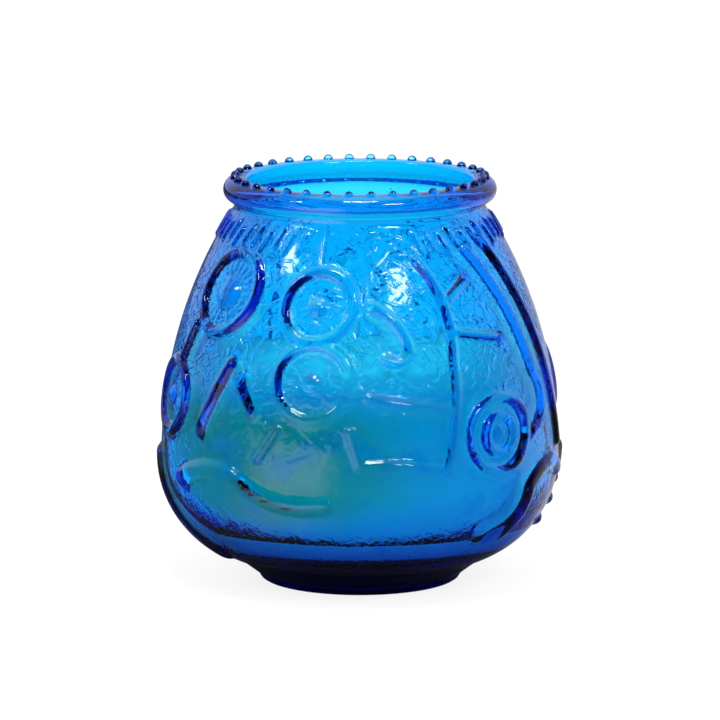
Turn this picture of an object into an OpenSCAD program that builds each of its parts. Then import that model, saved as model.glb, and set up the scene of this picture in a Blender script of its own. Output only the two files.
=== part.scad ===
// Pressed-glass candle lantern: a round-bellied jar with a beaded rim and a raised
// ornament of rings and bars, part filled with wax round a cored wick on a metal tab.
// Millimetres, +Z up. The origin is the centre of the foot, on the surface it stands on,
// and -Y is the front.

/* [Jar] */
// Widest diameter of the body
body_d = 100; // [92:1:108]
// Height of the widest circle above the table
belly_z = 31.5; // [28:0.5:36]
// Height of the rim's flat top, beads not counted
jar_h = 101.6; // [96:0.2:108]
// Thickness of the glass at the belly and shoulder
wall = 3.4; // [2.8:0.1:4.2]

/* [Foot] */
// Diameter of the foot
foot_d = 51; // [46:1:56]
// Height of the foot's cone, where the belly begins
foot_h = 6; // [4:0.5:8]
// How far the foot's cone spreads on each side
foot_flare = 6; // [4:0.5:8]
// Rounding of the foot's lower edge
foot_edge = 1.5; // [0.8:0.1:2.5]
// Diameter of the shallow hollow under the foot
kick_d = 40; // [30:1:42]
// Depth of the hollow under the foot
kick_depth = 4; // [0.5:0.5:6]
// Height of the inside floor above the table
floor_t = 13.5; // [10:0.5:17]
// Diameter of the flat part of the inside floor
floor_d = 52; // [44:1:58]

/* [Neck and rim] */
// Inside diameter of the mouth
mouth_d = 56.2; // [52:0.2:58]
// Outside diameter of the neck
neck_d = 63; // [62:0.2:66]
// Height of the neck between shoulder and rim
neck_h = 1.6; // [1:0.1:3]
// Rounding between neck and rim
neck_fillet = 1.3; // [0.6:0.1:1.6]
// Outside diameter of the rim
rim_d = 68.4; // [67:0.2:71]
// Height of the rim
rim_h = 5.8; // [5:0.1:6.6]
// Rounding of the mouth's upper edge
lip_r = 0.8; // [0.4:0.1:1.2]
// Number of beads round the rim
bead_count = 36; // [24:1:44]
// Diameter of one bead
bead_d = 2.4; // [1.8:0.1:3]

/* [Ornament] */
// Height of the raised ornament above the wall
relief = 1.2; // [0.6:0.1:1.6]
// Width of the raised rings and long ribs
ring_w = 2.8; // [2:0.1:3.6]
// Diameter of a band's round ends, against its width
knob = 1.15; // [1.05:0.05:1.4]
// Width of the raised bars
bar_w = 2.4; // [1.8:0.1:3]
// Width of the two bars that lean together at the left
stem_w = 3.4; // [2.4:0.1:4.2]
// Width of the broad ribbons above the foot
ribbon_w = 4.2; // [3:0.1:5.4]
// Diameter of the round medallions, at the middle of their rings
medallion_d = 18; // [15:0.5:20]
// Diameter of the domes in the medallions
dome_d = 5; // [3:0.1:7]
// Height of the domes above the wall
dome_rise = 1.1; // [0.6:0.1:1.4]
// Times the ornament goes round the jar, once for each half of the mould
ornament_repeats = 2; // [1:1:2]

/* [Candle] */
// Height of the wax surface at the glass, above the table
fill_z = 54; // [40:1:72]
// How far the wax surface dips towards the wick
pool_dip = 1; // [0.4:0.1:2]
// Gap that the setting wax leaves to the glass and the fittings
fill_gap = 0.1; // [0.05:0.05:0.3]
// Diameter of the braided wick
wick_d = 2.6; // [2:0.1:3.4]
// Length of wick that stands above the wax
wick_stand = 6; // [4:0.5:12]
// Diameter of the wick's core
core_d = 0.9; // [0.6:0.1:1.2]
// Clearance between the wick, its core and the tab
wick_gap = 0.05; // [0.02:0.01:0.1]

/* [Wick tab] */
// Diameter of the tab's disc
tab_d = 20; // [15:1:26]
// Thickness of the tab's sheet metal
tab_t = 0.4; // [0.3:0.05:0.6]
// Height of the collar that grips the wick
collar_h = 6; // [3:0.5:9]
// Diameter of the adhesive dot under the tab
dot_d = 14; // [10:1:18]
// Thickness of the adhesive dot
dot_t = 1; // [0.5:0.1:1.5]

/* [Hidden] */
$fn = 96;

belly_r = body_d / 2;
foot_r = foot_d / 2;
neck_r = neck_d / 2;
mouth_r = mouth_d / 2;
roll_r = rim_h / 2;
roll_c = rim_d / 2 - roll_r;
roll_z = jar_h - roll_r;
neck_z = jar_h - rim_h - neck_h;
flare_r = foot_r + foot_flare;
beyond = 10;

// Radius of the circle that leaves the belly upright at radius wide and passes, dz higher
// or lower, through radius narrow.
function swell(wide, narrow, dz) = (pow(dz, 2) + pow(wide - narrow, 2)) / (2 * (wide - narrow));

// Outside curves: one arc from belly to neck, one from belly to foot.
upper_r = swell(belly_r, neck_r, neck_z - belly_z);
upper_c = belly_r - upper_r;
lower_r = swell(belly_r, flare_r, belly_z - foot_h);
lower_c = belly_r - lower_r;

// Inside curves: the shoulder keeps the wall's thickness, and the bowl runs to the floor.
inner_r = belly_r - wall;
bowl_r = swell(inner_r, floor_d / 2, belly_z - floor_t);
bowl_c = inner_r - bowl_r;
kick_r = (pow(kick_d / 2, 2) + pow(kick_depth, 2)) / (2 * kick_depth);

// Outside wall at height z: its radius and the lean of its normal above the horizon.
function curve_r(z) = z >= belly_z ? upper_r : lower_r;
function wall_r(z) = belly_r - curve_r(z) + sqrt(pow(curve_r(z), 2) - pow(z - belly_z, 2));
function lean(z) = asin((z - belly_z) / curve_r(z));

// Height on the wall at a share of the way from the foot's cone to the neck.
function wall_z(share) = foot_h + share * (neck_z - foot_h);

// A place on the wall is its turn to the right of the front and its share of the height.
// Seen level from the direction view, it lies at this point.
function seen(view, place) =
    let (z = wall_z(place[1]))
    [wall_r(z) * sin(place[0] - view), z];

// Centre of the circle through three points.
function centre(p, q, s) =
    let (
        u = q - p,
        v = s - p,
        turn = 2 * (u.x * v.y - u.y * v.x)
    )
    p + [v.y * u * u - u.y * v * v, u.x * v * v - v.x * u * u] / turn;

// Candle: the tab stands on its dot on the floor, and the wick runs from the tab.
tab_z = floor_t + dot_t;
collar_d = wick_d + 2 * (wick_gap + tab_t);
wick_z = tab_z + tab_t + wick_gap;
wick_top = fill_z - pool_dip + wick_stand;

// Outline of the whole jar, to be turned round the axis: foot, belly, shoulder, neck, rim.
module outer_outline() {
    square([foot_r - foot_edge, foot_h]);
    intersection() {
        translate([foot_r - foot_edge, foot_edge]) circle(foot_edge);
        square([foot_r, foot_edge]);
    }
    polygon([[0, foot_edge], [foot_r, foot_edge], [flare_r, foot_h], [0, foot_h]]);
    translate([0, foot_h]) square([max(lower_c, 1), belly_z - foot_h]);
    intersection() {
        translate([lower_c, belly_z]) circle(lower_r, $fn = 256);
        translate([0, foot_h]) square([belly_r, belly_z - foot_h]);
    }
    intersection() {
        translate([upper_c, belly_z]) circle(upper_r, $fn = 256);
        translate([0, belly_z]) square([belly_r, neck_z - belly_z]);
    }
    translate([0, neck_z]) square([neck_r, neck_h + roll_r]);
    translate([0, roll_z]) square([roll_c, roll_r]);
    translate([roll_c, roll_z]) circle(roll_r);
    difference() {
        translate([neck_r, neck_z + neck_h - neck_fillet / 2]) square(neck_fillet);
        translate([neck_r + neck_fillet, neck_z + neck_h - neck_fillet / 2]) circle(neck_fillet);
    }
}

// Outline of the space inside: bowl, shoulder, mouth and its rounded lip.
module cavity_outline() {
    translate([0, floor_t]) square([max(bowl_c, 1), belly_z - floor_t]);
    intersection() {
        translate([bowl_c, belly_z]) circle(bowl_r, $fn = 256);
        translate([0, floor_t]) square([inner_r, belly_z - floor_t]);
    }
    intersection() {
        translate([upper_c, belly_z]) circle(upper_r - wall, $fn = 256);
        translate([0, belly_z]) square([inner_r, neck_z - belly_z]);
    }
    translate([0, belly_z]) square([mouth_r, jar_h - belly_z + beyond]);
    difference() {
        translate([mouth_r, jar_h - lip_r]) square(lip_r);
        translate([mouth_r + lip_r, jar_h - lip_r]) circle(lip_r);
    }
}

// Hollow under the foot.
module kick_outline() {
    intersection() {
        translate([0, kick_depth - kick_r]) circle(kick_r, $fn = 256);
        square([kick_d / 2, kick_depth]);
    }
}

// Band with round ends, straight between two places.
module bar(view, from, to, width) {
    p = seen(view, from);
    q = seen(view, to);
    translate(p) rotate(atan2(q.y - p.y, q.x - p.x)) translate([0, -width / 2])
        square([norm(q - p), width]);
    for (end = [p, q]) translate(end) circle(d = knob * width);
}

// Band with round ends, along the circle through three places.
module bow(view, from, through, to, width) {
    p = seen(view, from);
    q = seen(view, through);
    s = seen(view, to);
    c = centre(p, q, s);
    r = norm(p - c);
    reach = 2 * r;
    intersection() {
        ring(c, r, width);
        polygon([c, c + (p - c) * reach / r, c + (p + q - 2 * c) * reach / norm(p + q - 2 * c),
            c + (q - c) * reach / r, c + (q + s - 2 * c) * reach / norm(q + s - 2 * c),
            c + (s - c) * reach / r]);
    }
    for (end = [p, s]) translate(end) circle(d = knob * width);
}

module ring(c, r, width) {
    translate(c) difference() {
        circle(r + width / 2);
        circle(r - width / 2);
    }
}

// Round medallion: one ring, size against the others.
module medallion(view, place, size) {
    ring(seen(view, place), size * medallion_d / 2, ring_w);
}

// The ornament's outlines, each drawn as seen from one direction.
module left_outlines(view) {
    medallion(view, [-72.5, 0.49], 0.95);
    bar(view, [-65, 0.70], [-69, 0.60], bar_w);
    bow(view, [-86, 0.30], [-77, 0.15], [-61, 0.05], ribbon_w);
    medallion(view, [-52.5, 0.80], 1.05);
    bar(view, [-43, 0.61], [-53, 0.42], stem_w);
    bar(view, [-39, 0.58], [-33, 0.49], stem_w);
}

module front_outlines(view) {
    bow(view, [-62, 0.27], [-50, 0.315], [-37, 0.30], ribbon_w);
    bow(view, [-37, 0.30], [-26, 0.25], [-10, 0.245], ribbon_w);
    medallion(view, [-14.5, 0.785], 0.92);
    medallion(view, [-14.5, 0.585], 1);
    bar(view, [-24, 0.455], [-30, 0.365], bar_w);
}

module panel_outlines(view) {
    bow(view, [4, 0.79], [11, 0.75], [15.5, 0.67], ring_w);
    bow(view, [15.5, 0.67], [13, 0.645], [8, 0.65], bar_w);
    bar(view, [2.5, 0.545], [28, 0.50], bar_w);
    bow(view, [0, 0.36], [12, 0.36], [25, 0.335], bar_w);
    bar(view, [-3, 0.455], [0, 0.36], bar_w);
    bow(view, [22, 0.905], [29.5, 0.79], [30, 0.65], bar_w);
    bow(view, [30, 0.65], [29, 0.51], [25.5, 0.335], bar_w);
    bar(view, [31.5, 0.80], [42, 0.855], bar_w);
    bar(view, [32.5, 0.71], [51, 0.68], bar_w);
    medallion(view, [44, 0.42], 1);
    medallion(view, [44, 0.42], 0.5);
}

module right_outlines(view) {
    bow(view, [46, 0.92], [57, 0.76], [63.5, 0.57], ring_w);
    bow(view, [63.5, 0.57], [65.5, 0.46], [59, 0.41], ring_w);
    bow(view, [79, 0.27], [68, 0.305], [57, 0.25], ribbon_w);
    bow(view, [57, 0.25], [54, 0.17], [45, 0.12], ribbon_w);
    bow(view, [58, 0.935], [70, 0.70], [78, 0.35], ring_w);
}

// Layer that the ornament fills: from the middle of the wall out to its raised face.
module relief_outline() {
    intersection() {
        translate([lower_c, belly_z]) difference() {
            circle(lower_r + relief, $fn = 256);
            circle(lower_r - wall / 2, $fn = 256);
        }
        translate([flare_r / 2, foot_h]) square([belly_r, belly_z - foot_h]);
    }
    intersection() {
        translate([upper_c, belly_z]) difference() {
            circle(upper_r + relief, $fn = 256);
            circle(upper_r - wall / 2, $fn = 256);
        }
        translate([0, belly_z]) square([belly_r + relief, neck_z - belly_z]);
    }
}

// Part of the ball whose cap of the given diameter stands rise above the wall.
module dome(place, d, rise) {
    z = wall_z(place[1]);
    ball_r = (pow(d / 2, 2) + pow(rise, 2)) / (2 * rise);
    rotate([0, 0, place[0]]) translate([0, -wall_r(z), z]) rotate([90 - lean(z), 0, 0])
        translate([0, 0, rise - ball_r]) sphere(ball_r);
}

// What an outline seen from the direction view raises out of the wall.
module raised(view) {
    intersection() {
        rotate_extrude() relief_outline();
        rotate([0, 0, view]) rotate([90, 0, 0]) linear_extrude(belly_r + beyond) children();
    }
}

module ornament() {
    raised(-62) left_outlines(-62);
    raised(-25) front_outlines(-25);
    raised(25) panel_outlines(25);
    raised(64) right_outlines(64);
    dome([-52.5, 0.80], 1.8 * dome_d, dome_rise);
    for (place = [[-72.5, 0.49], [-14.5, 0.785], [-14.5, 0.585], [44, 0.42]])
        dome(place, dome_d, dome_rise);
    for (place = [[82, 0.11], [88, 0.16], [94, 0.21]])
        dome(place, 0.8 * dome_d, dome_rise);
}

module beads() {
    pitch = 360 / bead_count;
    for (i = [0 : bead_count - 1])
        rotate([0, 0, (i + 0.5) * pitch]) translate([0, -roll_c, jar_h]) sphere(d = bead_d, $fn = 32);
}

module glass_jar() {
    color([0.05, 0.45, 0.9, 0.6])
        difference() {
            union() {
                rotate_extrude() outer_outline();
                for (half = [0 : ornament_repeats - 1])
                    rotate([0, 0, half * 360 / ornament_repeats]) ornament();
                beads();
            }
            rotate_extrude() cavity_outline();
            rotate_extrude() kick_outline();
        }
}

// Outline of the wax: the space inside, a gap in from the glass, up to the dipped surface.
module wax_outline() {
    bottom = floor_t + fill_gap;
    difference() {
        intersection() {
            union() {
                translate([0, bottom]) square([max(bowl_c, 1), belly_z - bottom]);
                intersection() {
                    translate([bowl_c, belly_z]) circle(bowl_r - fill_gap, $fn = 256);
                    translate([0, bottom]) square([inner_r, belly_z - bottom]);
                }
                intersection() {
                    translate([upper_c, belly_z]) circle(upper_r - wall - fill_gap, $fn = 256);
                    translate([0, belly_z]) square([inner_r, neck_z - belly_z]);
                }
            }
            square([inner_r, fill_z]);
        }
        polygon([[0, fill_z - pool_dip], [inner_r, fill_z], [0, fill_z]]);
    }
}

// Wax, poured into the jar, with room for the wick and its tab.
module wax_fill() {
    color("ivory")
        difference() {
            rotate_extrude() wax_outline();
            cylinder(d = wick_d + 2 * fill_gap, h = jar_h);
            cylinder(d = collar_d + 2 * fill_gap, h = tab_z + tab_t + collar_h + fill_gap);
            cylinder(d = tab_d + 2 * fill_gap, h = tab_z + tab_t + fill_gap);
        }
}

module wick_braid() {
    color("linen")
        translate([0, 0, wick_z]) difference() {
            cylinder(d = wick_d, h = wick_top - wick_z);
            translate([0, 0, -beyond]) cylinder(d = core_d + 2 * wick_gap, h = jar_h);
        }
}

module wick_core() {
    color("wheat") translate([0, 0, wick_z]) cylinder(d = core_d, h = wick_top - wick_z);
}

// Stamped tab: a disc with a collar that is crimped round the foot of the wick.
module wick_tab() {
    color("silver")
        translate([0, 0, tab_z]) {
            cylinder(d = tab_d, h = tab_t);
            difference() {
                cylinder(d = collar_d, h = tab_t + collar_h);
                translate([0, 0, tab_t]) cylinder(d = wick_d + 2 * wick_gap, h = collar_h + beyond);
            }
        }
}

module adhesive_dot() {
    color("whitesmoke") translate([0, 0, floor_t]) cylinder(d = dot_d, h = dot_t);
}

glass_jar();
wax_fill();
wick_braid();
wick_core();
wick_tab();
adhesive_dot();
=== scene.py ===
# %% [markdown]
# A candle lantern of pressed blue glass: a round-bellied jar with a beaded rim and raised rings
# and bars, part filled with pale wax. The solids already stand in the frame at their real size.
# This lesson gives the jar its soft pressed surface, the wax its sheen and the wick its plait,
# and lights them like a product on a white table. Lengths in the script are millimetres, and
# one factor turns them into Blender's metres.

# %% Load the frame
import math

import bpy
import numpy as np
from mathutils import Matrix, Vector


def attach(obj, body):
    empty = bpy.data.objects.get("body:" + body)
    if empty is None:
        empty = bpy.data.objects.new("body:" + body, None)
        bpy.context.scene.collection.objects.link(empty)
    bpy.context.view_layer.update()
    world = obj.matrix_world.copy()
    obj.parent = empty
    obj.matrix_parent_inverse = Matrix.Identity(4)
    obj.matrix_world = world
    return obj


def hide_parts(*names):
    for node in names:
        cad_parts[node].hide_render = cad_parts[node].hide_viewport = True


MM = 0.001
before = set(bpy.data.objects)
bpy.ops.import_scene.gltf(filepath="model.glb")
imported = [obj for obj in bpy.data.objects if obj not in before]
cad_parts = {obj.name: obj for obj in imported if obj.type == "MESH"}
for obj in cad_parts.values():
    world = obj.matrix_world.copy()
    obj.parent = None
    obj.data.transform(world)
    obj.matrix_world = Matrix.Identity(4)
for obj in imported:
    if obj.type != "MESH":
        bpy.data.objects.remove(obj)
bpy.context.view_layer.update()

# %% [markdown]
# The photograph looks slightly down on the jar with a long lens, so upright lines stay upright.
# A long focal length from far away gives the same flat view. The camera turns about X only, and
# it aims at the middle of the jar.

# %% Camera
CAMERA_FAR = 1500
CAMERA_TILT = math.radians(10.4)
AIM = Vector((0, 0, 55.1))
LENS = 298.65

toward_camera = Vector((0, -math.cos(CAMERA_TILT), math.sin(CAMERA_TILT)))
bpy.ops.object.select_all(action="DESELECT")
bpy.ops.object.camera_add(location=(AIM + CAMERA_FAR * toward_camera) * MM,
                          rotation=(math.pi / 2 - CAMERA_TILT, 0, 0))
camera = bpy.context.object
camera.data.lens = LENS
bpy.context.scene.camera = camera
print("camera:", camera.location[:])

# %% [markdown]
# A finish is a small graph of shader nodes. Two helpers keep the graphs short: `Finish` adds a
# node with its settings and its inputs in one line, and `Wire` wraps a socket so that sums and
# products of sockets can be written as plain arithmetic.

# %% Helpers for shader graphs
class Wire:
    """An output socket that takes part in arithmetic."""

    def __init__(self, finish, socket):
        self.finish = finish
        self.socket = socket

    def maths(self, operation, first, second):
        return self.finish.node("ShaderNodeMath", {"operation": operation}, {0: first, 1: second})

    def __add__(self, other):
        return self.maths("ADD", self, other)

    __radd__ = __add__

    def __sub__(self, other):
        return self.maths("SUBTRACT", self, other)

    def __rsub__(self, other):
        return self.maths("SUBTRACT", other, self)

    def __mul__(self, other):
        return self.maths("MULTIPLY", self, other)

    __rmul__ = __mul__


class Finish:
    """The node graph of a material or of the world."""

    def __init__(self, owner):
        self.owner = owner
        owner.use_nodes = True
        self.tree = owner.node_tree
        self.tree.nodes.clear()

    def node(self, kind, settings=None, inputs=None, output=0):
        made = self.tree.nodes.new(kind)
        for name, value in (settings or {}).items():
            setattr(made, name, value)
        for name, value in (inputs or {}).items():
            if isinstance(value, Wire):
                self.tree.links.new(value.socket, made.inputs[name])
            else:
                made.inputs[name].default_value = value
        return Wire(self, made.outputs[output]) if made.outputs else None

    def noise(self, scale, detail=3.0, where=None):
        inputs = {"Scale": scale, "Detail": detail}
        inputs["Vector"] = where or self.place()
        return self.node("ShaderNodeTexNoise", {}, inputs, "Fac")

    def place(self):
        return self.node("ShaderNodeTexCoord", {}, {}, "Object")

    def axis(self, name, where=None):
        """One coordinate of a place, of the surface's own unless another is given."""
        return self.node("ShaderNodeSeparateXYZ", {}, {0: where or self.place()}, name)

    def ease(self, value, low, high, start=0.0, end=1.0):
        """A soft step: start up to low, end from high on."""
        return self.node("ShaderNodeMapRange", {"interpolation_type": "SMOOTHSTEP"},
                         {"Value": value, "From Min": low, "From Max": high,
                          "To Min": start, "To Max": end})

    def blend(self, share, first, second):
        """A colour between two colours."""
        return self.node("ShaderNodeMix", {"data_type": "RGBA"},
                         {"Factor": share, 6: first, 7: second}, 2)

    def mirrored(self):
        """One for a ray that a glossy surface has just reflected, else nothing."""
        reflected = self.node("ShaderNodeLightPath", {}, {}, "Is Reflection Ray")
        return reflected * self.node("ShaderNodeLightPath", {}, {}, "Is Glossy Ray")

    def bump(self, height, depth):
        """Normals bent by a height, whose full scale is depth in millimetres."""
        return self.node("ShaderNodeBump", {},
                         {"Height": height, "Distance": depth * MM, "Strength": 1.0})


def new_finish(name):
    return Finish(bpy.data.materials.new(name))


def wear(piece, finish):
    """Gives a piece one finish in place of what it had."""
    piece.data.materials.clear()
    piece.data.materials.append(finish.owner)
    print("finish:", piece.name, "wears", finish.owner.name)


# %% [markdown]
# The stage is a wide white table. Mirrored in the glass, so much white would lie over the blue like
# a veil, so a photographer hangs black cloth where only the reflections find it. A Light Path node
# does the same here: rays that a glossy surface has just mirrored meet a dark table, apart from a
# white card at the left, which gives the milky sheen on that side, and a lighter part behind the
# jar at the right. Towards the camera the table glows a little, which lightens the shadow.

# %% Table
WHITE = (1.0, 1.0, 1.0, 1.0)
TABLE_SIZE = 8000
TABLE_DROP = 0.05
TABLE_LIFT = 0.8
TABLE_GLOW = 1.06
PAPER = (0.92, 0.92, 0.92, 1.0)
CLOTH = (0.06, 0.06, 0.06, 1.0)
CARD = 0.9
CARD_FRONT = math.radians(14)
CARD_BACK = math.radians(65)
OPEN_BACK = 0.4

bpy.ops.object.select_all(action="DESELECT")
bpy.ops.mesh.primitive_plane_add(size=TABLE_SIZE * MM, location=(0, 0, -TABLE_DROP * MM))
table = bpy.context.object
table.name = "table_top"

white = new_finish("white_table")
straight = white.node("ShaderNodeLightPath", {}, {}, "Is Camera Ray")
paper = white.node("ShaderNodeBsdfDiffuse", {}, {"Color": PAPER})
cloth = white.node("ShaderNodeBsdfDiffuse", {}, {"Color": CLOTH})
aside = white.axis("X")
depth = white.axis("Y")
past_front = math.sin(CARD_FRONT) * depth - math.cos(CARD_FRONT) * aside
before_back = math.cos(CARD_BACK) * aside - math.sin(CARD_BACK) * depth
off_jar = 0.0 - aside - depth
card = (CARD * white.ease(past_front, -20 * MM, 50 * MM)
        * white.ease(before_back, -20 * MM, 80 * MM) * white.ease(off_jar, 60 * MM, 100 * MM))
open_back = (white.ease(depth, -20 * MM, 50 * MM, 0.0, OPEN_BACK)
             * white.ease(aside, -30 * MM, 30 * MM))
hung = white.mirrored() * (1.0 - card - open_back)
shown = white.node("ShaderNodeMixShader", {}, {0: hung, 1: paper, 2: cloth})
glowing = white.node("ShaderNodeEmission", {}, {"Color": WHITE, "Strength": TABLE_GLOW})
lifted = white.node("ShaderNodeMixShader", {}, {0: TABLE_LIFT * straight, 1: shown, 2: glowing})
white.node("ShaderNodeOutputMaterial", {}, {"Surface": lifted})
wear(table, white)

# %% [markdown]
# The sky is a world shader, white all round and a little brighter at both sides, because clear
# glass is lit by what lies behind it. Rays that were just mirrored meet a dim, bluish sky that is
# bright only behind the jar and straight above it. The world's Generated coordinate is the
# direction in which a ray looks: X tells right from left, Y back from front, and Z how high.

# %% Sky
SKY = 1.0
RIGHT_GLOW = 0.7
LEFT_GLOW = 0.25
MIRRORED = 0.03
MIRRORED_BACK = 0.9
MIRRORED_TOP = 1.0
MIRRORED_TONE = (0.62, 0.66, 1.0, 1.0)

sky = Finish(bpy.data.worlds.new("white_sky"))
bpy.context.scene.world = sky.owner
toward = sky.node("ShaderNodeTexCoord", {}, {}, "Generated")
right_glow = sky.ease(sky.axis("X", toward), 0.2, 0.8, 0.0, RIGHT_GLOW)
left_glow = sky.ease(sky.axis("X", toward), -0.8, -0.2, LEFT_GLOW, 0.0)
bright = SKY + right_glow + left_glow
behind = sky.ease(sky.axis("Y", toward), -0.3, 0.5, MIRRORED, MIRRORED_BACK)
overhead = sky.ease(sky.axis("Z", toward), 0.93, 0.97, 0.0, MIRRORED_TOP)
strength = bright + (behind + overhead - bright) * sky.mirrored()
tone = sky.blend(sky.mirrored(), WHITE, MIRRORED_TONE)
glow = sky.node("ShaderNodeBackground", {}, {"Color": tone, "Strength": strength})
sky.node("ShaderNodeOutputWorld", {}, {"Surface": glow})
bpy.context.scene.view_settings.view_transform = "Standard"
print("sky:", sky.owner.name, len(sky.tree.nodes), "nodes")

# %% [markdown]
# Three softboxes draw the bright spots, two window-like ones on the shoulder and one on every edge
# that looks up. A softbox's watts grow with its size, so its brightness is set instead.

# %% Softboxes
BOX_FAR = 1200


def softbox(name, side, back, up, width, height, brightness):
    """A glowing panel in the direction side, back, up from the jar, facing it."""
    away = Vector((side, back, up)).normalized()
    bpy.ops.object.select_all(action="DESELECT")
    bpy.ops.object.light_add(type="AREA", location=(AIM + BOX_FAR * away) * MM,
                             rotation=away.to_track_quat("Z", "Y").to_euler())
    light = bpy.context.object
    light.name = name
    light.data.shape = "RECTANGLE"
    light.data.size = width * MM
    light.data.size_y = height * MM
    light.data.energy = brightness * math.pi * width * height * MM**2
    print("light:", name, round(light.data.energy, 2), "W")


softbox("right_softbox", 0.42, -0.68, 0.62, 250, 200, 18)
softbox("left_softbox", -0.68, -0.34, 0.64, 200, 160, 18)
softbox("top_softbox", 0.0, -0.35, 1.0, 400, 250, 22)

# %% [markdown]
# Everything round on this lantern is a turned form: one outline, spun round the upright axis.
# The outline could be drawn as a curve, but extruding a single vertex from point to point and
# spinning it keeps full control of how fine the mesh is where it matters.

# %% Helpers for turned forms
def arc(side, up, radius, first, last, count):
    """Points along a circle, from one angle to another in degrees, without the first."""
    angles = np.radians(np.linspace(first, last, count + 1)[1:])
    return [(side + radius * math.cos(a), up + radius * math.sin(a)) for a in angles]


def line(start, end, count):
    """Points along a straight line, without the first."""
    steps = np.linspace(0, 1, count + 1)[1:]
    return [(start[0] + t * (end[0] - start[0]), start[1] + t * (end[1] - start[1])) for t in steps]


def turned(name, outline, columns):
    """Extrudes a vertex along an outline of (radius, height) and spins it round the axis."""
    bpy.ops.object.select_all(action="DESELECT")
    bpy.ops.mesh.primitive_plane_add(size=MM)
    piece = bpy.context.object
    piece.name = name
    bpy.ops.object.mode_set(mode="EDIT")
    bpy.ops.mesh.merge(type="CENTER")
    radius, height = outline[0]
    bpy.ops.transform.translate(value=(radius * MM, 0, height * MM))
    for (r0, z0), (r1, z1) in zip(outline, outline[1:]):
        move = {"value": ((r1 - r0) * MM, 0, (z1 - z0) * MM)}
        bpy.ops.mesh.extrude_region_move(TRANSFORM_OT_translate=move)
    bpy.ops.mesh.select_all(action="SELECT")
    bpy.ops.mesh.spin(steps=columns, angle=2 * math.pi, center=(0, 0, 0), axis=(0, 0, 1))
    bpy.ops.mesh.select_all(action="SELECT")
    bpy.ops.mesh.remove_doubles(threshold=MM / 1000)
    bpy.ops.mesh.normals_make_consistent(inside=False)
    bpy.ops.object.mode_set(mode="OBJECT")
    bpy.ops.object.shade_smooth()
    print("turned:", name, len(piece.data.vertices), "vertices")
    return piece


def points_of(piece):
    """The piece's vertices in millimetres, one row each."""
    flat = np.empty(3 * len(piece.data.vertices))
    piece.data.vertices.foreach_get("co", flat)
    return flat.reshape(-1, 3) / MM


def swell(piece, heights):
    """Moves each vertex out along its normal by its height."""
    most = float(np.abs(heights).max())
    for sign, label in ((1, "raised"), (-1, "sunk")):
        share = np.clip(sign * heights / most, 0, 1)
        if not share.any():
            continue
        group = piece.vertex_groups.new(name=label)
        for index in np.nonzero(share)[0]:
            group.add([int(index)], float(share[index]), "REPLACE")
        bpy.ops.object.select_all(action="DESELECT")
        bpy.context.view_layer.objects.active = piece
        piece.select_set(True)
        bpy.ops.object.modifier_add(type="DISPLACE")
        push = piece.modifiers[-1]
        push.strength = sign * most * MM
        push.mid_level = 0.0
        push.vertex_group = label
        bpy.ops.object.modifier_apply(modifier=push.name)
        piece.vertex_groups.clear()


# %% [markdown]
# The jar is pressed in one gob of glass: a shallow hollow under the foot, a short cone, a full
# belly, a long shoulder and a rolled rim round a straight mouth. Its outline runs from the centre
# under the foot, up the outside, over the rim and down the inside to the centre of the floor, so
# that the spun mesh is one closed skin. The light then knows when it is inside the glass.

# %% The jar's outline
BELLY_R = 50.0
BELLY_Z = 31.5
WALL = 3.4
FOOT_R = 25.5
FOOT_H = 6.0
FOOT_FLARE = 6.0
FOOT_EDGE = 1.5
KICK_R = 20.0
KICK_DEPTH = 4.0
FLOOR_T = 13.5
FLOOR_R = 26.0
MOUTH_R = 28.1
NECK_R = 31.5
NECK_Z = 94.2
NECK_H = 1.6
RIM_Z = 101.6
RIM_R = 34.2
ROLL_R = 2.9
LIP_R = 0.8
NECK_FILLET = 1.3
FILLET_END = 148
ROLL_START = -82
ROW = 0.96
SHOULDER_ROWS = 44
BOWL_ROWS = 22
COLUMNS = 288


def circle_through(wide, narrow, rise):
    """Radius of the circle that leaves the belly upright and passes through the narrow radius."""
    return (rise**2 + (wide - narrow) ** 2) / (2 * (wide - narrow))


upper_r = circle_through(BELLY_R, NECK_R, NECK_Z - BELLY_Z)
upper_c = BELLY_R - upper_r
lower_r = circle_through(BELLY_R, FOOT_R + FOOT_FLARE, BELLY_Z - FOOT_H)
lower_c = BELLY_R - lower_r
inner_belly_r = BELLY_R - WALL
bowl_r = circle_through(inner_belly_r, FLOOR_R, BELLY_Z - FLOOR_T)
bowl_c = inner_belly_r - bowl_r
kick_r = (KICK_R**2 + KICK_DEPTH**2) / (2 * KICK_DEPTH)
roll_c = RIM_R - ROLL_R
roll_z = RIM_Z - ROLL_R
shoulder_r = upper_r - WALL


def slope(rise, radius):
    """The angle on a circle, in degrees, at a rise above its centre."""
    return math.degrees(math.asin(rise / radius))


def rows(radius, degrees):
    """How many rows of faces an arc gets."""
    return round(math.radians(abs(degrees)) * radius / ROW)


kick_turn = 90 - slope(KICK_R, kick_r)
foot_turn = slope(FOOT_H - BELLY_Z, lower_r)
neck_turn = slope(NECK_Z - BELLY_Z, upper_r)
mouth_z = BELLY_Z + math.sqrt(shoulder_r**2 - (MOUTH_R - upper_c) ** 2)
mouth_turn = slope(mouth_z - BELLY_Z, shoulder_r)
floor_turn = slope(FLOOR_T - BELLY_Z, bowl_r)
fillet_z = NECK_Z + NECK_H - NECK_FILLET / 2

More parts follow.
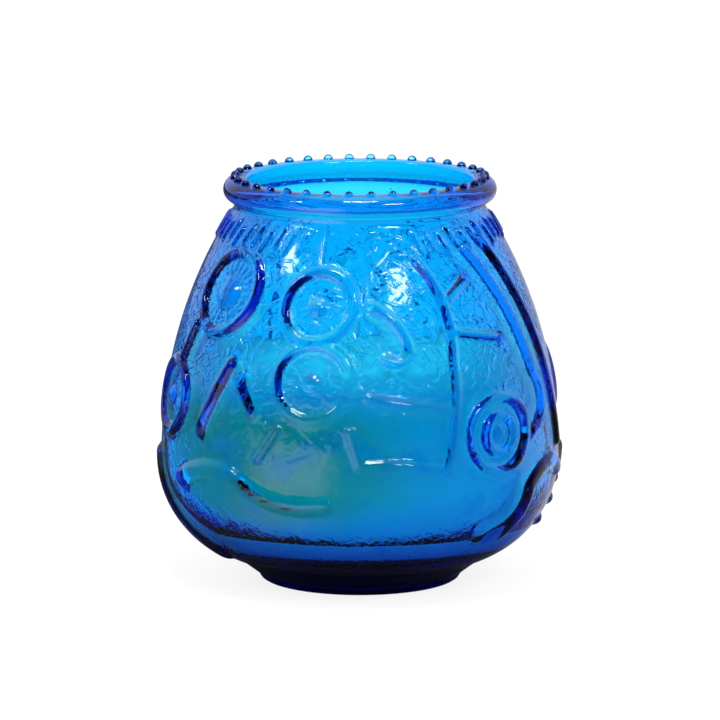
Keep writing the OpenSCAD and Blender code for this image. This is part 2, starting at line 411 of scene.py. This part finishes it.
outline = [(0, KICK_DEPTH)]
outline += arc(0, KICK_DEPTH - kick_r, kick_r, 90, kick_turn, 4)
outline += line(outline[-1], (FOOT_R - FOOT_EDGE, 0), 2)
outline += arc(FOOT_R - FOOT_EDGE, FOOT_EDGE, FOOT_EDGE, -90, 0, 4)
outline += line(outline[-1], (FOOT_R + FOOT_FLARE, FOOT_H), 5)
outline += arc(lower_c, BELLY_Z, lower_r, foot_turn, 0, rows(lower_r, foot_turn))
outline += arc(upper_c, BELLY_Z, upper_r, 0, neck_turn, rows(upper_r, neck_turn))
outline += line(outline[-1], (NECK_R, fillet_z), 2)
outline += arc(NECK_R + NECK_FILLET, fillet_z, NECK_FILLET, 180, FILLET_END, 2)
outline += arc(roll_c, roll_z, ROLL_R, ROLL_START, 90, 16)
outline += line(outline[-1], (MOUTH_R + LIP_R, RIM_Z), 2)
outline += arc(MOUTH_R + LIP_R, RIM_Z - LIP_R, LIP_R, 90, 180, 4)
outline += line(outline[-1], (MOUTH_R, mouth_z), 3)
outline += arc(upper_c, BELLY_Z, shoulder_r, mouth_turn, 0, SHOULDER_ROWS)
outline += arc(bowl_c, BELLY_Z, bowl_r, 0, floor_turn, BOWL_ROWS)
outline += line(outline[-1], (0, FLOOR_T), 4)
jar = turned("pressed_jar", outline, COLUMNS)
print("outline:", len(outline), "points")

# %% [markdown]
# Thirty-six glass beads stand on the rim. One ball is modelled, copied round the rim, and all of
# them are melted into the jar with a Boolean, because glass that overlaps glass would show a
# false skin inside.

# %% Beads on the rim
BEADS = 36
BEAD_R = 1.2

bpy.ops.object.select_all(action="DESELECT")
bpy.ops.mesh.primitive_uv_sphere_add(segments=20, ring_count=12, radius=BEAD_R * MM,
                                     location=(0, -roll_c * MM, RIM_Z * MM))
bead = bpy.context.object
pitch = 2 * math.pi / BEADS
bpy.ops.object.transform_apply(location=True)
bpy.ops.object.mode_set(mode="EDIT")
bpy.ops.transform.rotate(value=pitch / 2, orient_axis="Z", center_override=(0, 0, 0))
for _ in range(BEADS - 1):
    bpy.ops.mesh.duplicate()
    bpy.ops.transform.rotate(value=pitch, orient_axis="Z", center_override=(0, 0, 0))
bpy.ops.object.mode_set(mode="OBJECT")
bpy.ops.object.shade_smooth()

bpy.ops.object.select_all(action="DESELECT")
bpy.context.view_layer.objects.active = jar
jar.select_set(True)
bpy.ops.object.modifier_add(type="BOOLEAN")
melt = jar.modifiers[-1]
melt.operation = "UNION"
melt.solver = "MANIFOLD"
melt.object = bead
bpy.ops.object.modifier_apply(modifier=melt.name)
bpy.data.objects.remove(bead)
print("beads melted in:", len(jar.data.vertices), "vertices")

# %% [markdown]
# The ornament is cut into the mould, so it stands out of the wall with round backs. The soft glass
# sank into the mould, and behind each band the inside has a soft hollow, which bends the light
# until the bands at the sides look almost black. Some bands are backed by a flatter inside, so
# each has a share `deep` of the full hollow. Each band is drawn as it is seen level from one side,
# as on the mould maker's drawing: the distance of a point of the wall from the band's middle line
# gives its height there. The same set comes once on each half of the mould.

# %% A wall to draw bands on
RELIEF = 1.2
BAND_FOOT = 1.1
BAND_ROUND = 0.6
HOLLOW = 1.1
HOLLOW_FOOT = 1.7
SKIN_SLACK = 0.1
HALVES = (0, 180)


def soft_step(value, low, high):
    """Nothing up to low, one from high on, and a smooth way between."""
    t = np.clip((value - low) / (high - low), 0, 1)
    return t * t * (3 - 2 * t)


def wrapped(angle, full):
    """An angle brought to within half a turn of zero."""
    return (angle + full / 2) % full - full / 2


def wall_z(share):
    """The height of a share of the way from the foot's cone up to the neck."""
    return FOOT_H + share * (NECK_Z - FOOT_H)


def wall_radius(z):
    """The radius of the outer wall at a height."""
    radius = upper_r if z >= BELLY_Z else lower_r
    return BELLY_R - radius + math.sqrt(radius**2 - (z - BELLY_Z) ** 2)


def seen(view, place):
    """Where a place (turn, share of height) lies when it is seen level from the view."""
    z = wall_z(place[1])
    return np.array([wall_radius(z) * math.sin(math.radians(place[0] - view)), z])


def half_round(gap, deep):
    """Height of a band outside, the same for every share of the hollow behind it."""
    return RELIEF * np.clip(1 - (gap / BAND_FOOT) ** 2, 0, 1) ** BAND_ROUND


def soft_hollow(gap, deep):
    """Depth of the hollow inside, behind a band."""
    return -HOLLOW * deep * (1 - soft_step(gap, 0, HOLLOW_FOOT))


class Wall:
    """Heights over the vertices of one skin of the jar, drawn band by band."""

    def __init__(self, points, inside, section):
        above = points[:, 2] >= BELLY_Z
        axis = np.where(above, upper_c, lower_c)
        curve = np.where(above, upper_r, lower_r)
        reach = np.hypot(points[:, 0], points[:, 1])
        bowl = np.where(above, shoulder_r, bowl_r)
        bowl_axis = np.where(above, upper_c, bowl_c)
        off_inner = np.hypot(reach - bowl_axis, points[:, 2] - BELLY_Z) - bowl
        off_outer = np.hypot(reach - axis, points[:, 2] - BELLY_Z) - curve
        low, high = (FLOOR_T, mouth_z) if inside else (FOOT_H, NECK_Z)
        near = np.abs(off_inner if inside else off_outer) < WALL / 4
        rise = np.arctan2(points[:, 2] - BELLY_Z, reach - axis)
        self.points = points
        self.section = section
        level = (points[:, 2] > low - SKIN_SLACK) & (points[:, 2] < high + SKIN_SLACK)
        self.on = near & level
        self.turn = np.degrees(np.arctan2(points[:, 0], -points[:, 1]))
        self.reach = axis + curve * np.cos(rise)
        self.z = BELLY_Z + curve * np.sin(rise)
        self.heights = np.zeros(len(points))

    def keep(self, band, where=True):
        """Adds a band where it stands out more than what is drawn already."""
        more = self.on & where & (np.abs(band) > np.abs(self.heights))
        self.heights = np.where(more, band, self.heights)

    def along(self, view, width, distance, deep):
        """Draws the band about the line that distance measures from, on both halves."""
        for half in HALVES:
            away = np.radians(wrapped(self.turn - view - half, 360))
            level = np.column_stack([self.reach * np.sin(away), self.z])
            band = self.section(distance(level) / (width / 2), deep)
            self.keep(band, np.cos(away) > 0)

    def bar(self, view, start, end, width, deep=1.0):
        p, q = seen(view, start), seen(view, end)

        def distance(level):
            share = np.clip((level - p) @ (q - p) / ((q - p) @ (q - p)), 0, 1)
            return np.linalg.norm(level - p - share[:, None] * (q - p), axis=1)

        self.along(view, width, distance, deep)

    def bow(self, view, start, middle, end, width, deep=1.0):
        p, q, s = seen(view, start), seen(view, middle), seen(view, end)
        u, v = q - p, s - p
        lean = 2 * (u[0] * v[1] - u[1] * v[0])
        c = p + np.array([v[1] * (u @ u) - u[1] * (v @ v), u[0] * (v @ v) - v[0] * (u @ u)]) / lean
        radius = np.linalg.norm(p - c)
        a, b, d = (math.atan2(x[1] - c[1], x[0] - c[0]) for x in (p, q, s))
        span = wrapped(b - a, 2 * math.pi) + wrapped(d - b, 2 * math.pi)

        def distance(level):
            off = level - c
            angle = wrapped(np.arctan2(off[:, 1], off[:, 0]) - a - span / 2, 2 * math.pi)
            along = np.abs(np.linalg.norm(off, axis=1) - radius)
            ends = np.minimum(np.linalg.norm(level - p, axis=1), np.linalg.norm(level - s, axis=1))
            return np.where(np.abs(angle) <= abs(span) / 2, along, ends)

        self.along(view, width, distance, deep)

    def ring(self, view, place, radius, width, deep=1.0):
        c = seen(view, place)

        def distance(level):
            return np.abs(np.linalg.norm(level - c, axis=1) - radius)

        self.along(view, width, distance, deep)

    def dome(self, place, radius, rise):
        z = wall_z(place[1])
        for half in HALVES:
            a = math.radians(place[0] + half)
            centre = np.array([wall_radius(z) * math.sin(a), -wall_radius(z) * math.cos(a), z])
            share = np.linalg.norm(self.points - centre, axis=1) / radius
            self.keep(rise * np.clip(1 - share**2, 0, 1))


# %% [markdown]
# The drawing itself: medallions are rings, the panel and the stems are bars and bows, and broad
# ribbons sweep round the belly above the foot. Small domes fill the medallions, and three bosses
# stand at the right. A place is its turn to the right of the front, in degrees, and its share of
# the way from the foot's cone up to the neck.

# %% The drawing
RING_W = 2.8
BAR_W = 2.4
STEM_W = 3.4
RIBBON_W = 4.2
FLAT, HALF, SHALLOW = 0.3, 0.5, 0.6
MEDALLION_R = 9.0
DOME_R = 2.5
DOME_RISE = 1.1
LEFT, FRONT, PANEL, RIGHT = -62, -25, 25, 64
TALL_MEDALLION = (-52.5, 0.80)
LEFT_MEDALLION = (-72.5, 0.49)
UPPER_MEDALLION = (-14.5, 0.785)
LOWER_MEDALLION = (-14.5, 0.585)
DOUBLE_MEDALLION = (44, 0.42)
BOSSES = ((82, 0.11), (88, 0.16), (94, 0.21))


def draw_bands(wall):
    wall.ring(LEFT, LEFT_MEDALLION, 0.95 * MEDALLION_R, RING_W)
    wall.bar(LEFT, (-65, 0.70), (-69, 0.60), BAR_W)
    wall.bow(LEFT, (-86, 0.30), (-77, 0.15), (-61, 0.05), RIBBON_W)
    wall.ring(LEFT, TALL_MEDALLION, 1.05 * MEDALLION_R, RING_W)
    wall.bar(LEFT, (-43, 0.61), (-53, 0.42), STEM_W)
    wall.bar(LEFT, (-39, 0.58), (-33, 0.49), STEM_W)

    wall.bow(FRONT, (-62, 0.27), (-50, 0.315), (-37, 0.30), RIBBON_W)
    wall.bow(FRONT, (-37, 0.30), (-26, 0.25), (-10, 0.245), RIBBON_W)
    wall.ring(FRONT, UPPER_MEDALLION, 0.92 * MEDALLION_R, RING_W)
    wall.ring(FRONT, LOWER_MEDALLION, MEDALLION_R, RING_W)
    wall.bar(FRONT, (-24, 0.455), (-30, 0.365), BAR_W, FLAT)

    wall.bow(PANEL, (4, 0.79), (11, 0.75), (15.5, 0.67), RING_W)
    wall.bow(PANEL, (15.5, 0.67), (13, 0.645), (8, 0.65), BAR_W)
    wall.bar(PANEL, (2.5, 0.545), (28, 0.50), BAR_W, SHALLOW)
    wall.bow(PANEL, (0, 0.36), (12, 0.36), (25, 0.335), BAR_W, SHALLOW)
    wall.bar(PANEL, (-3, 0.455), (0, 0.36), BAR_W)
    wall.bow(PANEL, (22, 0.905), (29.5, 0.79), (30, 0.65), BAR_W, HALF)
    wall.bow(PANEL, (30, 0.65), (29, 0.51), (25.5, 0.335), BAR_W, FLAT)
    wall.bar(PANEL, (31.5, 0.80), (42, 0.855), BAR_W)
    wall.bar(PANEL, (32.5, 0.71), (51, 0.68), BAR_W)
    wall.ring(PANEL, DOUBLE_MEDALLION, MEDALLION_R, RING_W)
    wall.ring(PANEL, DOUBLE_MEDALLION, 0.5 * MEDALLION_R, RING_W)

    wall.bow(RIGHT, (46, 0.92), (57, 0.76), (63.5, 0.57), RING_W)
    wall.bow(RIGHT, (63.5, 0.57), (65.5, 0.46), (59, 0.41), RING_W)
    wall.bow(RIGHT, (79, 0.27), (68, 0.305), (57, 0.25), RIBBON_W)
    wall.bow(RIGHT, (57, 0.25), (54, 0.17), (45, 0.12), RIBBON_W)
    wall.bow(RIGHT, (58, 0.935), (70, 0.70), (78, 0.35), RING_W)


def draw_domes(wall):
    wall.dome(TALL_MEDALLION, 1.8 * DOME_R, DOME_RISE)
    for place in (LEFT_MEDALLION, UPPER_MEDALLION, LOWER_MEDALLION, DOUBLE_MEDALLION):
        wall.dome(place, DOME_R, DOME_RISE)
    for place in BOSSES:
        wall.dome(place, 0.8 * DOME_R, DOME_RISE)


# %% [markdown]
# Finer carving joins the bands: a fringe of short dashes under the neck, which lean towards the
# middle of each half and leave it free, the thin seam where the two halves of the mould met, and
# short spokes round the middles of two medallions.

# %% Fringe, seam and spokes
FRINGE = 60
FRINGE_Z = (87.0, 93.0)
FRINGE_W = 0.8
FRINGE_TOP = 0.2
FRINGE_END = 0.2
FRINGE_RISE = 0.7
FRINGE_LEAN = 4
FRINGE_FREE = (18, 26)
FRINGE_STAGGER = 0.12
STAGGER_STEP = 2.4
SEAM_TURN = -14.8
SEAM_Z = (72, 76)
SEAM_W = 0.6
SEAM_RISE = 0.3
SPOKE_W = 0.5
SPOKE_TOP = 0.1
SPOKE_END = 0.6
SPOKE_RISE = 0.3


def draw_fringe(wall):
    pitch = 360 / FRINGE
    off_front = wrapped(wall.turn, 180)
    share = (wall.z - FRINGE_Z[0]) / (FRINGE_Z[1] - FRINGE_Z[0])
    leant = wall.turn + FRINGE_LEAN * np.sin(np.radians(2 * off_front)) * (share - 0.5)
    staggered = share + FRINGE_STAGGER * np.sin(STAGGER_STEP * np.round(leant / pitch))
    aside = np.abs(wrapped(leant, pitch)) * np.radians(wall.reach)
    ends = soft_step(0.5 - np.abs(staggered - 0.5), 0, FRINGE_END)
    sides = soft_step(np.abs(off_front), *FRINGE_FREE)
    wall.keep(FRINGE_RISE * (1 - soft_step(aside, FRINGE_TOP, FRINGE_W)) * ends * sides)


def draw_seam(wall):
    aside = np.abs(wrapped(wall.turn - SEAM_TURN, 180)) * np.radians(wall.reach)
    upper = soft_step(wall.z, *SEAM_Z)
    wall.keep(SEAM_RISE * (1 - soft_step(aside, 0, SEAM_W)) * upper)


def draw_spokes(wall, view, place, low, high, count):
    """Short spokes round the middle of a medallion, from one radius to another."""
    c = seen(view, place)
    for half in HALVES:
        away = np.radians(wrapped(wall.turn - view - half, 360))
        off = np.column_stack([wall.reach * np.sin(away), wall.z]) - c
        radius = np.linalg.norm(off, axis=1)
        aside = np.abs(wrapped(np.arctan2(off[:, 1], off[:, 0]), 2 * math.pi / count)) * radius
        begun = soft_step(radius, low, low + SPOKE_END)
        ended = soft_step(radius, high - SPOKE_END, high)
        ridge = 1 - soft_step(aside, SPOKE_TOP, SPOKE_W)
        wall.keep(SPOKE_RISE * ridge * begun * (1 - ended), np.cos(away) > 0)


def outer_wall():
    """The heights of all that stands out of the jar, over its vertices as they are now."""
    wall = Wall(points_of(jar), False, half_round)
    draw_bands(wall)
    draw_domes(wall)
    draw_fringe(wall)
    draw_seam(wall)
    draw_spokes(wall, LEFT, TALL_MEDALLION, 4.8, 7.8, 22)
    draw_spokes(wall, FRONT, LOWER_MEDALLION, 2.6, 6.5, 26)
    return wall


# %% [markdown]
# A mesh that is fine enough for the flanks of the bands would be too heavy all over. So the faces
# across which the height changes are selected and subdivided once, and only then the drawing
# lifts the vertices. An attribute remembers which vertices are bare ground between the bands.

# %% Refine and raise
STEEP = 0.06
GROUND_FADE = 0.4

low_heights = outer_wall().heights
corners = [[low_heights[v] for v in face.vertices] for face in jar.data.polygons]
steep = [max(c) - min(c) > STEEP for c in corners]
bpy.ops.object.select_all(action="DESELECT")
bpy.context.view_layer.objects.active = jar
jar.select_set(True)
bpy.ops.object.mode_set(mode="EDIT")
bpy.ops.mesh.select_mode(type="FACE")
bpy.ops.mesh.select_all(action="DESELECT")
bpy.ops.object.mode_set(mode="OBJECT")
jar.data.polygons.foreach_set("select", steep)
bpy.ops.object.mode_set(mode="EDIT")
bpy.ops.mesh.subdivide(number_cuts=1)
bpy.ops.mesh.select_mode(type="VERT")
bpy.ops.object.mode_set(mode="OBJECT")
print("refined:", sum(steep), "faces, now", len(jar.data.vertices), "vertices")

outer = outer_wall()
inner = Wall(points_of(jar), True, soft_hollow)
draw_bands(inner)
swell(jar, outer.heights + inner.heights)
ground = np.where(outer.on, 1 - soft_step(outer.heights, 0.0, GROUND_FADE), 0)
jar.data.attributes.new("ground", "FLOAT", "POINT").data.foreach_set("value", ground)
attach(jar, "root")
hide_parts("glass_jar")
print("jar:", sum(len(f.vertices) - 2 for f in jar.data.polygons), "triangles")

# %% [markdown]
# The glass is coloured right through: a cobalt blue that swallows red in a few millimetres and
# lets blue pass, so thick places are darker than thin ones. That is a volume's work, not a
# surface colour's. The ground between the bands has a frost-like stipple of short dashes, strong
# on the shoulder and faint below and under the neck. Each cell of a Voronoi pattern carries one
# dash in its own direction, and a bump raises it. Slow waves, left by the cooling glass, join it.

# %% Dashes for the stipple
def dashes(finish, cells, length, width):
    """Short strokes on the surface, one for each cell, each in a direction of its own."""
    here = finish.place()
    facing = finish.node("ShaderNodeNewGeometry", {}, {}, "True Normal")

    def voronoi(output):
        settings = {"voronoi_dimensions": "3D", "feature": "F1"}
        inputs = {"Vector": here, "Scale": cells / MM}
        return finish.node("ShaderNodeTexVoronoi", settings, inputs, output)

    def vector(operation, first, second, output="Vector"):
        settings = {"operation": operation}
        return finish.node("ShaderNodeVectorMath", settings, {0: first, 1: second}, output)

    def scaled(arrow, factor):
        settings = {"operation": "SCALE"}
        return finish.node("ShaderNodeVectorMath", settings, {0: arrow, "Scale": factor})

    def laid_flat(arrow):
        lift = vector("DOT_PRODUCT", arrow, facing, "Value")
        return vector("SUBTRACT", arrow, scaled(facing, lift))

    offset = laid_flat(vector("SUBTRACT", here, voronoi("Position")))
    way = laid_flat(vector("SUBTRACT", voronoi("Color"), (0.5, 0.5, 0.5)))
    way = finish.node("ShaderNodeVectorMath", {"operation": "NORMALIZE"}, {0: way})
    along = vector("DOT_PRODUCT", offset, way, "Value")
    aside = finish.node("ShaderNodeVectorMath", {"operation": "LENGTH"},
                        {0: vector("SUBTRACT", offset, scaled(way, along))}, "Value")
    far = finish.node("ShaderNodeMath", {"operation": "ABSOLUTE"}, {0: along})
    return (finish.ease(aside, 0.2 * width * MM, width * MM, 1.0, 0.0)
            * finish.ease(far, 0.6 * length * MM, length * MM, 1.0, 0.0))


# %% Blue glass
GLASS_TAKES = (0.0, 0.860, 0.976, 1.0)
GLASS_DENSITY = 1100.0
LONG_DASH = (0.22, 2.2, 0.6)
SHORT_DASH = (0.35, 1.4, 0.45)
SURFACE_DEPTH = 0.1

glass = new_finish("blue_glass")
bare = glass.node("ShaderNodeAttribute", {"attribute_name": "ground"}, {}, "Fac")
up = glass.axis("Z")
below = glass.ease(up, 35 * MM, 60 * MM, 0.25, 1.1)
under_neck = glass.ease(up, 78 * MM, 88 * MM, 1.0, 0.3)
stipple = (dashes(glass, *LONG_DASH) + dashes(glass, *SHORT_DASH)) * bare * below * under_neck
waves = 2.5 * glass.noise(90.0, 2.0) + 0.6 * glass.noise(260.0, 2.0)
clear = glass.node("ShaderNodeBsdfPrincipled", {}, {
    "Base Color": WHITE, "Roughness": 0.01 + 0.02 * bare, "IOR": 1.5,
    "Transmission Weight": 1.0, "Normal": glass.bump(stipple + waves, SURFACE_DEPTH)})
tint = glass.node("ShaderNodeVolumeAbsorption", {},
                  {"Color": GLASS_TAKES, "Density": GLASS_DENSITY})
glass.node("ShaderNodeOutputMaterial", {}, {"Surface": clear, "Volume": tint})
wear(jar, glass)

# %% [markdown]
# The wax was poured in hot. On the floor and in the lowest part of the bowl it still touches the
# glass, so its outline reaches a hair into it and light meets no air on the way. Above that it has
# shrunk a tenth of a millimetre away from the wall. The top is almost level: it climbs a little at
# the wall, where it wetted the glass, and dips towards the wick.

# %% Wax
FILL_Z = 54.0
FILL_GAP = 0.1
CONTACT = 0.02
LOOSE_TURN = -51
POOL_DIP = 1.0
MENISCUS = 0.5
MENISCUS_W = 1.5
WICK_POOL = 3.3
WICK_CLIMB = 0.2

wax_shoulder = shoulder_r - FILL_GAP
fill_turn = slope(FILL_Z - BELLY_Z, wax_shoulder)
wax_outline = [(0, FLOOR_T - CONTACT)]
wax_outline += line(wax_outline[-1], (FLOOR_R, FLOOR_T - CONTACT), 6)
wax_outline += arc(bowl_c, BELLY_Z, bowl_r + CONTACT, floor_turn, LOOSE_TURN, 12)
wax_outline += arc(bowl_c, BELLY_Z, bowl_r - FILL_GAP, LOOSE_TURN, 0, 12)
wax_outline += arc(upper_c, BELLY_Z, wax_shoulder, 0, fill_turn, 12)
wax_r = wax_outline[-1][0]
wax_outline += [(wax_r - MENISCUS_W / 3, FILL_Z - 0.6 * MENISCUS)]
wax_outline += [(wax_r - MENISCUS_W, FILL_Z - MENISCUS)]
wax_outline += line(wax_outline[-1], (WICK_POOL, FILL_Z - POOL_DIP), 16)
wax_outline += line(wax_outline[-1], (0, FILL_Z - POOL_DIP + WICK_CLIMB), 3)
wax = turned("poured_wax", wax_outline, 160)
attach(wax, "root")
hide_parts("wax_fill")

# %% [markdown]
# Wax lets light in and spreads it, so it gets subsurface scattering. Its own colour is a warm
# ivory, and a painted shading lies over it: warmer and darker at the left, paler at the right and
# lower down, for how the light falls on the wax. Bluish patches are painted light as well: the wax
# is not blue, and they paint in the blue glass where the wax clings to the wall. The upper part
# and the pool on top are painted paler, a painted light for the top, and the underside is dark,
# because no light comes out of the thick foot.

# %% Candle wax
# The first two colours are the ends of a painted shading across the wax, warm at the left and pale
# at the right.
PAINTED_WARM_SIDE = (0.92, 0.80, 0.37, 1.0)
PAINTED_PALE_SIDE = (0.93, 0.95, 0.88, 1.0)
# The next colour is painted light: the blue of the glass, painted onto the wax in patches.
PAINTED_CONTACT_BLUE = (0.35, 0.52, 0.80, 1.0)
UNDERSIDE = (0.06, 0.06, 0.08, 1.0)
# The last colour is painted light: it makes the upper part and the top of the wax paler.
POOL = (0.96, 0.96, 0.76, 1.0)

ivory = new_finish("candle_wax")
cloud = ivory.noise(60.0, 4.0)
fine = ivory.noise(400.0, 3.0)
height = ivory.axis("Z")
# Painted shading: warm and darker at the left, paler at the right and lower down.
paler = ivory.axis("X") + ivory.ease(height, 17 * MM, 30 * MM, 35 * MM, 0.0)
shade = ivory.blend(ivory.ease(paler + 30 * MM * (cloud - 0.5), -16 * MM, 30 * MM), PAINTED_WARM_SIDE, PAINTED_PALE_SIDE)
# Painted light: bluish patches that paint the blue glass onto the wax.
patches = ivory.ease(ivory.noise(85.0, 2.0), 0.54, 0.66, 0.0, 0.35)
shade = ivory.blend(patches, shade, PAINTED_CONTACT_BLUE)
risen = ivory.ease(height, (FLOOR_T + 0.6) * MM, (FLOOR_T + 1.0) * MM)
shade = ivory.blend(risen, UNDERSIDE, shade)
# Painted light: the upper part and the top of the wax are painted paler.
pool = ivory.ease(height, (FILL_Z - 9) * MM, (FILL_Z - 1) * MM)
shade = ivory.blend(pool, shade, POOL)
soft_wax = ivory.node("ShaderNodeBsdfPrincipled", {}, {
    "Base Color": shade, "Roughness": 0.4 + 0.2 * fine, "Specular IOR Level": 0.2,
    "Subsurface Weight": 0.9, "Subsurface Radius": (1.0, 1.0, 0.9), "Subsurface Scale": 8 * MM,
    "Normal": ivory.bump(fine + cloud, 0.15)})
ivory.node("ShaderNodeOutputMaterial", {}, {"Surface": soft_wax})
wear(wax, ivory)

# %% [markdown]
# The wick is a cotton sleeve plaited round a stiff core. A tube is turned first, and two sets of
# strands that wind in opposite ways then press their over-and-under pattern into it.

# %% Plaited wick
WICK_R = 1.3
WICK_BORE = 0.5
WICK_EDGE = 0.2
WICK_Z = 14.95
WICK_TOP = 59.0
STRANDS = 4
STRAND_PITCH = 2.6
STRAND_DEPTH = 0.14

wick_outline = [(WICK_BORE, WICK_Z), (WICK_R - WICK_EDGE, WICK_Z), (WICK_R, WICK_Z + WICK_EDGE)]
wick_outline += line(wick_outline[-1], (WICK_R, WICK_TOP - WICK_EDGE), 220)
wick_outline += [(WICK_R - WICK_EDGE, WICK_TOP), (WICK_BORE, WICK_TOP), (WICK_BORE, WICK_Z)]
wick = turned("plaited_wick", wick_outline, 48)
spots = points_of(wick)
round_it = np.arctan2(spots[:, 0], -spots[:, 1]) * STRANDS
climb = 2 * math.pi * spots[:, 2] / STRAND_PITCH
right_lay = np.sin((round_it + climb) / 2) ** 2
left_lay = np.sin((round_it - climb) / 2) ** 2
outside = np.hypot(spots[:, 0], spots[:, 1]) > WICK_R - WICK_EDGE / 2
swell(wick, np.where(outside, STRAND_DEPTH * (np.maximum(right_lay, left_lay) - 1), 0))
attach(wick, "root")
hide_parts("wick_braid")

cotton = new_finish("wick_cotton")
fibre = cotton.noise(2500.0, 4.0)
thread = cotton.blend(fibre, (0.78, 0.72, 0.60, 1.0), (0.92, 0.88, 0.79, 1.0))
waxed = cotton.node("ShaderNodeBsdfPrincipled", {}, {
    "Base Color": thread, "Roughness": 0.75 + 0.2 * fibre, "Normal": cotton.bump(fibre, 0.05)})
cotton.node("ShaderNodeOutputMaterial", {}, {"Surface": waxed})
wear(wick, cotton)

# %% [markdown]
# The core, the tab and the adhesive dot are hidden in the wax. Their solids stay as they are and
# only get finishes: twisted paper, stamped tinplate and hot-melt adhesive.

# %% Fittings
paper_core = new_finish("wick_paper")
grain = paper_core.noise(1800.0, 4.0)
twist = paper_core.blend(grain, (0.70, 0.60, 0.44, 1.0), (0.86, 0.78, 0.62, 1.0))
spun = paper_core.node("ShaderNodeBsdfPrincipled", {}, {
    "Base Color": twist, "Roughness": 0.7 + 0.2 * grain, "Normal": paper_core.bump(grain, 0.03)})
paper_core.node("ShaderNodeOutputMaterial", {}, {"Surface": spun})
wear(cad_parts["wick_core"], paper_core)

tinplate = new_finish("tab_metal")
spangle = tinplate.noise(700.0, 5.0)
bright = tinplate.blend(spangle, (0.60, 0.61, 0.63, 1.0), (0.74, 0.75, 0.77, 1.0))
rolled = tinplate.node("ShaderNodeBsdfPrincipled", {}, {
    "Base Color": bright, "Metallic": 1.0, "Roughness": 0.25 + 0.2 * spangle,
    "Normal": tinplate.bump(spangle, 0.02)})
tinplate.node("ShaderNodeOutputMaterial", {}, {"Surface": rolled})
wear(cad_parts["wick_tab"], tinplate)

glue = new_finish("tab_adhesive")
haze = glue.noise(1500.0, 3.0)
pale = glue.blend(haze, (0.80, 0.79, 0.75, 1.0), (0.90, 0.89, 0.86, 1.0))
set_glue = glue.node("ShaderNodeBsdfPrincipled", {}, {
    "Base Color": pale, "Roughness": 0.6 + 0.3 * haze, "Normal": glue.bump(haze, 0.05)})
glue.node("ShaderNodeOutputMaterial", {}, {"Surface": set_glue})
wear(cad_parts["adhesive_dot"], glue)
